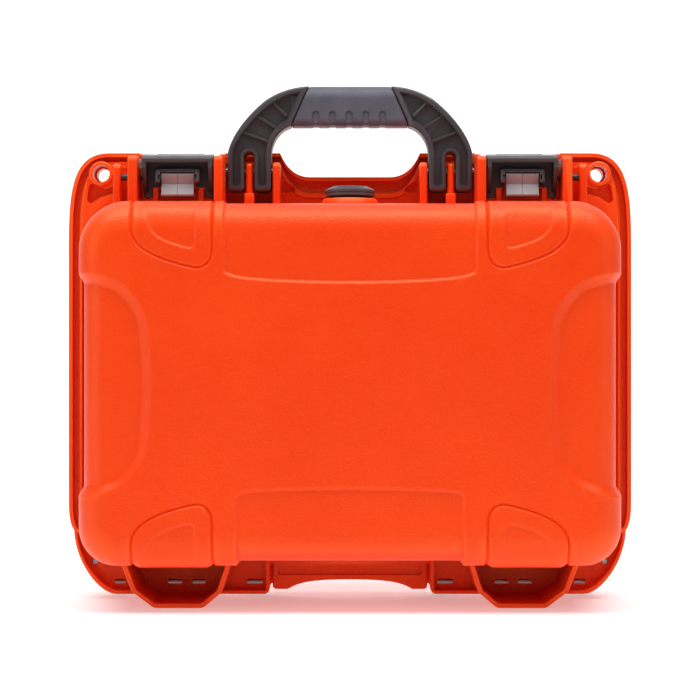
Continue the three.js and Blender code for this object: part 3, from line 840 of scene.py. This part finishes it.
def arm_outline():
    points = [(90.5, 330)] + bezier((90.5, 330), (88, 345), (74, 361), (62, 370.5), 14)
    points += bezier((62, 370.5), (52, 377), (42, 380), (30.5, 380.6), 10)
    points += [(43.6, 351)] + bezier((43.6, 351), (52, 349), (57.5, 340), (58, 331), 10)
    points += rounded([(58, 309, 0), (58, 303, 4), (70.7, 303, 4), (70.7, 309, 0)])
    points += fork_arc(3.6)
    points += rounded([(77.9, 309, 0), (77.9, 303, 4), (90.5, 303, 4), (90.5, 309, 0)])
    return points


def web_pockets():
    """The outline of the hollow in each face of an arm, which runs on round its fork."""
    outer = [(86.4, 331)] + bezier((86.4, 331), (83, 343), (71, 357), (59.5, 366), 14)
    outer += bezier((59.5, 366), (52, 371.5), (45, 374.5), (38, 375.2), 8)
    outer += [(46.6, 356)] + bezier((46.6, 356), (55, 352.5), (61.5, 343), (62.2, 332), 10)
    outer += rounded([(62.2, 320, 0), (62.2, 307.6, 2.5), (67.4, 307.6, 2.5), (67.4, 320, 0)])
    outer += fork_arc(6.9)
    outer += rounded([(81.2, 320, 0), (81.2, 307.6, 2.5), (86.4, 307.6, 2.5), (86.4, 320, 0)])
    return outer


def cross_ribs(y0, y1):
    """Three ribs across the hollow of an arm."""
    ribs = []
    ends = (((56.5, 368.5), (48, 360)), ((67.5, 358), (55.5, 350.5)), ((77, 346), (61, 340)))
    for (a0, b0), (a1, b1) in ends:
        length = math.dist((a0, b0), (a1, b1))
        nx, nz = -(b1 - b0) / length * 1.1, (a1 - a0) / length * 1.1
        ex, ez = (a1 - a0) / length * 2, (b1 - b0) / length * 2
        ribs.append(prism([(a0 - ex + nx, b0 - ez + nz), (a1 + ex + nx, b1 + ez + nz),
                           (a1 + ex - nx, b1 + ez - nz), (a0 - ex - nx, b0 - ez - nz)], y0, y1, "y", 0.4))
    return ribs


def handle_frame():
    arm = prism(arm_outline(), HANDLE_FRONT, HANDLE_BACK, "y", 2.2, 4)
    deep = 5
    for grow, depth in ((0, deep), (0.4, 1.5), (0.9, 0.7)):
        pocket = offset(web_pockets(), grow)
        cut(arm, prism(pocket, HANDLE_FRONT - 1, HANDLE_FRONT + depth, "y"),
            prism(pocket, HANDLE_BACK - depth, HANDLE_BACK + 1, "y"))
    join(arm, *cross_ribs(HANDLE_FRONT + 2.2, HANDLE_FRONT + deep + 1),
         *cross_ribs(HANDLE_BACK - deep - 1, HANDLE_BACK - 2.2))
    cut(arm, rod_x(HANDLE_BORE, 50, 98, HANDLE_Y, HANDLE_Z))
    frame_solid = both_sides(arm)
    return join(frame_solid, block(-44, 44, HANDLE_Y - 7, HANDLE_Y + 7, 357, 375, 2))


GRIP_LOW, GRIP_HIGH = 351, 381
GROOVE_XS = (-25.2, -12.9, -0.6, 11.7, 24)


def grip_end(side):
    """What is cut off the sleeve to leave its slanted end."""
    outline = [(42.7, GRIP_LOW), (29.7, GRIP_HIGH), (29.7, GRIP_HIGH + 9),
               (60, GRIP_HIGH + 9), (60, GRIP_LOW - 9), (46.6, GRIP_LOW - 9)]
    return prism([(side * x, z) for x, z in outline], -40, 50, "y")


def handle_grip():
    """The soft sleeve: round-edged, slanted at its ends, with five finger grooves on each face."""
    front, back = HANDLE_Y - 12, HANDLE_Y + 12
    section = rounded([(front, GRIP_LOW, 5.5), (front, GRIP_HIGH, 10),
                       (back, GRIP_HIGH, 10), (back, GRIP_LOW, 5.5)], 6)
    grip = prism(section, -46, 46, "x")
    for x in GROOVE_XS:
        slot = rounded([(x - 2.7, GRIP_LOW + 2.2, 2.6), (x + 2.7, GRIP_LOW + 2.2, 2.6),
                        (x + 2.7, 362.2, 2.6), (x - 2.7, 362.2, 2.6)], 12)
        cut(grip, prism(slot, front - 2, front + 1, "y"), prism(slot, back - 1, back + 2, "y"),
            block(x - 2.4, x + 2.4, front - 1, back + 1, GRIP_LOW - 2, GRIP_LOW + 0.8, 0.5))
    cut(grip, grip_end(1), grip_end(-1))
    return cut(grip, block(-47, 47, HANDLE_Y - 7.3, HANDLE_Y + 7.3, 356.7, 375.3, 2))


# ---- latch ----

def lever():
    """A deep hood: tall side walls, a panel set back between them and a window for the slide lock."""
    x0, x1 = LEVER_X - 25.8, LEVER_X + 25.8
    side = rounded([(-36, 318, 2), (-36, 326, 3), (-16, 329.2, 5), (-5, 328.4, 4), (1, 322, 4), (1, 309, 4),
                    (-4, 297, 3), (-16, 297, 3), (-28, 308, 6)], 10)
    top = rounded([(-36, 320.8, 1.4), (-36, 326, 3), (-16, 329.2, 1.5), (-16, 325, 1), (-31, 323, 1)], 10)
    shell = join(prism(side, x0, x0 + 3.5, "x", 1.0), prism(side, x1 - 3.5, x1, "x", 1.0),
                 prism(top, x0 + 0.4, x1 - 0.4, "x", 0.8))
    window = rounded([(LEVER_X - 12.4, 300, 0), (LEVER_X - 12.4, 314.6, 1), (LEVER_X + 12.4, 314.6, 1),
                      (LEVER_X + 12.4, 300, 0)])
    panel = block(x0 + 1, x1 - 1, -20, -16.5, 304.8, 326)
    join(panel, block(x0 + 1, LEVER_X - 19, -20, -16.5, 297, 306, 0.4),
         block(LEVER_X + 19, x1 - 1, -20, -16.5, 297, 306, 0.4))
    cheek = rounded([(-33, 307, 2), (-31, 317.4, 2), (-17, 319, 0), (-17, 307, 1)])
    join(panel, prism(cheek, LEVER_X - 16, LEVER_X - 12.4, "x", 0.7),
         prism(cheek, LEVER_X + 12.4, LEVER_X + 16, "x", 0.7),
         block(LEVER_X - 15.5, LEVER_X + 15.5, -30, -17, 314.6, 317.6, 0.7))
    cut(panel, prism(window, -21, -15, "y"))
    join(shell, panel)
    cut(shell, block(LEVER_X - 14, LEVER_X + 14, -34.5, -16, 309.7, 313))
    return cut(shell, rod_x(LATCH_BORE, x0 - 1, x1 + 1, LEVER_Y, LEVER_Z),
               rod_x(CLAW_BORE, x0 - 1, x1 + 1, CLAW_Y, CLAW_Z))


def claw():
    """The claw that reaches over the lid's rim."""
    x0, x1 = LEVER_X - 17.5, LEVER_X + 17.5
    profile = rounded([(-9, 317.6, 0), (-3, 318, 2), (3, 326.5, 2), (46.3, 326.5, 1.2), (46.3, 317.5, 1),
                       (50.3, 317.5, 1.6), (50.3, 329, 2), (48.3, 331, 2), (0, 331, 3), (-4, 327, 3),
                       (-9, 324.4, 0)], 10)
    body = join(prism(profile, x0, x1, "x", 0.8), rod_x(3.4, x0, x1, CLAW_Y, CLAW_Z, 0.4))
    for x in (-10, 0, 10):
        groove = rounded([(LEVER_X + x - 3, 8, 2.5), (LEVER_X + x + 3, 8, 2.5), (LEVER_X + x + 3, 42, 2.5),
                          (LEVER_X + x - 3, 42, 2.5)])
        cut(body, prism(groove, 330, 332, "z"))
    return cut(body, rod_x(CLAW_BORE, x0 - 1, x1 + 1, CLAW_Y, CLAW_Z))


def slide_lock():
    """A thumb hollow of two faces that meet in a crease, with a seam down the middle."""
    front = rounded([(-33, 298.6, 0.8), (-29, 306.4, 0.8), (-31.4, 313.2, 0.5), (-30.6, 314, 0.4),
                     (-25, 314, 0), (-25, 297.2, 0.8), (-32.4, 297.2, 0.8)])
    body = join(prism(front, LEVER_X - 11.8, LEVER_X + 11.8, "x", 0.6),
                block(LEVER_X - 13.7, LEVER_X + 13.7, -28.5, -25, 310.1, 312.6, 0.3),
                block(LEVER_X - 9, LEVER_X + 9, -27, -18.6, 297.3, 299.4, 0.3))
    seam = prism([(-40, 290), (-32.6, 290), (-32.6, 298.6), (-28.6, 306.4), (-31, 313.2), (-31, 320),
                  (-40, 320)],
                 LEVER_X - 0.25, LEVER_X + 0.25, "x")
    return cut(body, seam)


# ---- valve and small parts ----

def valve_cap():
    """A stepped knob with a fine groove round its rim, on a plain stem."""
    profile = [(0, 284.3), (5.4, 284.3), (6, 284.9), (6, 298.5), (17.6, 298.5), (18.2, 299.0), (18.2, 300.6),
               (17.8, 300.8), (17.8, 301.1), (18.2, 301.3), (18.2, 303.0), (17.9, 303.4), (13.6, 305.5),
               (12.8, 305.8), (9.6, 305.8), (9.2, 305.3), (0, 305.2)]
    return turned(profile, (0, VALVE_Y), 96)


def valve_seal():
    ring = turned([(0, 297), (15.6, 297), (16, 297.4), (16, 297.9), (15.6, 298.2), (0, 298.2)], (0, VALVE_Y))
    return cut(ring, prism(circle(0, VALVE_Y, VALVE_BORE), 296, 299, "z"))


def valve_nut():
    nut = prism(rounded([(10.4 * math.cos(k * math.pi / 3), VALVE_Y + 10.4 * math.sin(k * math.pi / 3), 0.6)
                         for k in range(6)]), 285.2, 289, "z", 0.5)
    return cut(nut, prism(circle(0, VALVE_Y, VALVE_BORE), 284, 290, "z"))


def pin(node, bevel=0.4, sides=40):
    """A round pin with chamfered ends, as long and as thick as its CAD node."""
    low, high = node_box(node)
    radius = (high[2] - low[2]) / 2
    return rod_x(radius, low[0], high[0], (low[1] + high[1]) / 2, (low[2] + high[2]) / 2, bevel, sides)


def hinge_screw():
    head = rod_y(2.2, 25.2, 26.9, SCREW_X, SCREW_Z, 0.5)
    cut(head, rod_y(1.1, 24, 26.4, SCREW_X, SCREW_Z, sides=6))
    return join(head, rod_y(1.3, 26.6, RIM_BACK - 1, SCREW_X, SCREW_Z, 0.2, 24))


# ---- materials ----

class Nodes:
    """Short forms for building a node material on object coordinates."""

    def __init__(self, name):
        self.material = bpy.data.materials.new(name)
        self.material.use_nodes = True
        self.tree = self.material.node_tree
        self.shader = self.tree.nodes["Principled BSDF"]
        self.coordinates = self.tree.nodes.new("ShaderNodeTexCoord").outputs["Object"]

    def link(self, output, target):
        self.tree.links.new(output, target)

    def noise(self, scale, detail=3.0, stretch=(1, 1, 1)):
        mapping = self.tree.nodes.new("ShaderNodeMapping")
        mapping.inputs["Scale"].default_value = stretch
        self.link(self.coordinates, mapping.inputs["Vector"])
        node = self.tree.nodes.new("ShaderNodeTexNoise")
        node.inputs["Scale"].default_value = scale
        node.inputs["Detail"].default_value = detail
        self.link(mapping.outputs["Vector"], node.inputs["Vector"])
        return node.outputs["Fac"]

    def cells(self, scale):
        node = self.tree.nodes.new("ShaderNodeTexVoronoi")
        node.feature = "SMOOTH_F1"
        node.inputs["Scale"].default_value = scale
        self.link(self.coordinates, node.inputs["Vector"])
        return node.outputs["Distance"]

    def ramp(self, factor, stops):
        node = self.tree.nodes.new("ShaderNodeValToRGB")
        elements = node.color_ramp.elements
        for element, (place, colour) in zip(elements, stops):
            element.position = place
            element.color = colour
        for place, colour in stops[2:]:
            elements.new(place).color = colour
        self.link(factor, node.inputs["Fac"])
        return node.outputs["Color"]

    def span(self, value, low, high, out_low, out_high):
        node = self.tree.nodes.new("ShaderNodeMapRange")
        for key, number in (("From Min", low), ("From Max", high),
                            ("To Min", out_low), ("To Max", out_high)):
            node.inputs[key].default_value = number
        self.link(value, node.inputs["Value"])
        return node.outputs["Result"]

    def mix(self, factor, first, second):
        node = self.tree.nodes.new("ShaderNodeMix")
        node.data_type = "RGBA"
        for key, value in (("Factor", factor), ("A", first), ("B", second)):
            socket = node.inputs[key]
            if isinstance(value, (tuple, float)):
                socket.default_value = value
            else:
                self.link(value, socket)
        return node.outputs["Result"]

    def edges(self, low, high):
        """1 along worn convex edges, 0 elsewhere."""
        geometry = self.tree.nodes.new("ShaderNodeNewGeometry")
        return self.span(geometry.outputs["Pointiness"], low, high, 0, 1)

    def bump(self, height, strength, distance, normal=None):
        node = self.tree.nodes.new("ShaderNodeBump")
        node.inputs["Strength"].default_value = strength
        node.inputs["Distance"].default_value = distance
        self.link(height, node.inputs["Height"])
        if normal is not None:
            self.link(normal, node.inputs["Normal"])
        return node.outputs["Normal"]


def moulded_plastic(name, dark, light, worn, roughness, gloss, tint, grain, grain_depth):
    """Moulded plastic: a slightly uneven colour, a fine pebbled skin and paler rubbed edges."""
    n = Nodes(name)
    body = n.ramp(n.noise(9, 4), ((0.35, dark), (0.65, light)))
    rubbed = n.mix(n.edges(0.515, 0.56), body, worn)
    n.link(rubbed, n.shader.inputs["Base Color"])
    mottle = n.span(n.noise(35, 5), 0.3, 0.7, roughness - 0.05, roughness + 0.06)
    n.link(mottle, n.shader.inputs["Roughness"])
    skin = n.bump(n.cells(grain), 0.35, grain_depth)
    wave = n.bump(n.noise(6, 2), 0.25, 0.0006, skin)
    n.link(wave, n.shader.inputs["Normal"])
    n.shader.inputs["Specular IOR Level"].default_value = gloss
    n.shader.inputs["Specular Tint"].default_value = tint
    return n.material


def soft_rubber(name, dark, light, roughness):
    """Soft rubber: matt, with a faint dusty sheen and fine grain."""
    n = Nodes(name)
    n.link(n.ramp(n.noise(60, 5), ((0.3, dark), (0.7, light))), n.shader.inputs["Base Color"])
    mottle = n.span(n.noise(140, 3), 0.3, 0.7, roughness - 0.05, roughness + 0.05)
    n.link(mottle, n.shader.inputs["Roughness"])
    n.link(n.bump(n.cells(1300), 0.3, 0.00025), n.shader.inputs["Normal"])
    n.shader.inputs["Sheen Weight"].default_value = 0.15
    return n.material


def drawn_metal(name, dark, light, roughness, metallic=1.0):
    """Drawn steel: bright, with fine lines along X."""
    n = Nodes(name)
    lines = n.noise(220, 4, stretch=(0.05, 1, 1))
    n.link(n.ramp(lines, ((0.35, dark), (0.65, light))), n.shader.inputs["Base Color"])
    n.link(n.span(lines, 0.3, 0.7, roughness - 0.06, roughness + 0.08), n.shader.inputs["Roughness"])
    n.link(n.bump(lines, 0.15, 0.0001), n.shader.inputs["Normal"])
    n.shader.inputs["Metallic"].default_value = metallic
    return n.material


# ---- assembly ----

def build_case():
    orange = moulded_plastic("shell_orange", (0.84, 0.039, 0.0007, 1), (0.88, 0.048, 0.001, 1),
                             (0.96, 0.1, 0.012, 1), 0.40, 0.7, (1, 0.55, 0.28, 1), 900, 0.0006)
    black = moulded_plastic("black_nylon", (0.038, 0.033, 0.036, 1), (0.055, 0.047, 0.052, 1),
                            (0.08, 0.07, 0.075, 1), 0.4, 0.4, (1, 1, 1, 1), 1400, 0.0002)
    grey = moulded_plastic("lock_grey", (0.115, 0.115, 0.13, 1), (0.145, 0.143, 0.16, 1),
                           (0.3, 0.28, 0.29, 1), 0.4, 0.4, (1, 1, 1, 1), 1600, 0.0002)
    grip = soft_rubber("grip_rubber", (0.057, 0.058, 0.080, 1), (0.082, 0.080, 0.110, 1), 0.6)
    seal = soft_rubber("seal_rubber", (0.012, 0.012, 0.012, 1), (0.025, 0.024, 0.025, 1), 0.7)
    steel = drawn_metal("steel_pin", (0.26, 0.26, 0.27, 1), (0.4, 0.4, 0.41, 1), 0.3)
    dark_pin = drawn_metal("black_pin", (0.02, 0.02, 0.022, 1), (0.05, 0.05, 0.052, 1), 0.3, 0.6)

    piece(base_shell(), "base_shell_look", "base", "shell_orange", orange, "base_shell")
    piece(lid_shell(), "lid_shell_look", "lid", "shell_orange", orange, "lid_shell")
    gasket = gasket_ring(-0.1, LID_FRONT, LID_FRONT + 3.1, 0.8)
    piece(gasket, "lid_gasket_look", "lid", "seal_rubber", seal, "lid_gasket")
    piece(handle_frame(), "handle_frame_look", "handle", "black_nylon", black, "handle_frame")
    piece(handle_grip(), "handle_grip_look", "handle", "grip_rubber", grip, "handle_grip", angle=50)
    piece(valve_cap(), "valve_cap_look", "valve", "black_nylon", black, "valve_cap")
    piece(valve_seal(), "valve_seal_look", "base", "seal_rubber", seal, "valve_seal")
    piece(valve_nut(), "valve_nut_look", "base", "black_nylon", black, "valve_nut")

    pairs = (
        ("latch_lever", "lever", "black_nylon", black, lever),
        ("latch_claw", "claw", "black_nylon", black, claw),
        ("latch_slide_lock", "lock", "lock_grey", grey, slide_lock),
        ("hinge_pin", None, "steel_pin", steel, lambda: pin("hinge_pin_right")),
        ("hinge_screw", None, "steel_pin", steel, hinge_screw),
        ("handle_pin", None, "steel_pin", steel, lambda: pin("handle_pin_right")),
        ("latch_pin", None, "black_pin", dark_pin, lambda: pin("latch_pin_right")),
        ("claw_pin", "lever", "steel_pin", steel, lambda: pin("claw_pin_right")),
    )
    for name, body, slot, material, make in pairs:
        right = make()
        left = mirrored(right)
        for side, solid in (("right", right), ("left", left)):
            rides_on = f"{body}_{side}" if body else "base"
            piece(solid, f"{name}_{side}_look", rides_on, slot, material, f"{name}_{side}")


def build_floor():
    """A white cyclorama: a floor that curves up into a wall."""
    floor = Nodes("floor_white")
    floor.link(floor.ramp(floor.noise(3, 2), ((0.3, (0.88, 0.88, 0.88, 1)), (0.7, (0.9, 0.9, 0.9, 1)))),
               floor.shader.inputs["Base Color"])
    floor.shader.inputs["Roughness"].default_value = 0.8
    floor.shader.inputs["Emission Color"].default_value = (1, 1, 1, 1)
    floor.shader.inputs["Emission Strength"].default_value = 0.3
    sweep = [(-6000, 0), (1800, 0)]
    turns = [math.pi / 2 * k / 16 for k in range(1, 17)]
    sweep += [(1800 + 900 * math.sin(a), 900 - 900 * math.cos(a)) for a in turns]
    sweep += [(2700, 6000)]
    vertices = [(x, y, z) for y, z in sweep for x in (-6000, 6000)]
    faces = [(2 * i, 2 * i + 1, 2 * i + 3, 2 * i + 2) for i in range(len(sweep) - 1)]
    ground = mesh_object("floor", vertices, faces)
    for face in ground.data.polygons:
        face.use_smooth = True
    ground.data.materials.append(floor.material)


def area(name, place, aim, size, power):
    light = bpy.data.lights.new(name, "AREA")
    light.shape = "RECTANGLE"
    light.size, light.size_y = size
    light.energy = power
    lamp = bpy.data.objects.new(name, light)
    lamp.location = place
    lamp.rotation_euler = (Vector(aim) - Vector(place)).to_track_quat("-Z", "Y").to_euler()
    scene.collection.objects.link(lamp)


def build_lights():
    """Soft panels above, before and beside the case, one on the backdrop, and a dim surround."""
    world = bpy.data.worlds.new("studio")
    world.use_nodes = True
    world.node_tree.nodes["Background"].inputs["Color"].default_value = (1, 1, 1, 1)
    world.node_tree.nodes["Background"].inputs["Strength"].default_value = 0.07
    scene.world = world
    area("top", (0, -0.42, 1.5), (0, -0.05, 0.15), (2.2, 0.8), 30.5)
    area("key", (0, -2.0, 1.65), (0, 0, 0.14), (2.0, 0.9), 5.6)
    area("left", (-2.3, -1.1, 0.7), (0, -0.05, 0.18), (0.9, 1.4), 8.5)
    area("right", (2.3, -1.1, 0.7), (0, -0.05, 0.18), (0.9, 1.4), 4.2)
    area("backdrop", (0, 0.9, 2.0), (0, 2.6, 0.6), (3.0, 0.6), 36)


def build_camera():
    """The camera, level and square on to the base."""
    camera = bpy.data.cameras.new("camera")
    camera.sensor_width = SENSOR_WIDTH
    camera.lens = CAMERA_LENS
    view = bpy.data.objects.new("camera", camera)
    view.location = CAMERA_PLACE
    view.rotation_euler = (math.pi / 2, 0, 0)
    scene.collection.objects.link(view)
    scene.camera = view


scene = bpy.context.scene
scene.view_settings.view_transform = "Standard"
build_case()
build_floor()
build_lights()
build_camera()
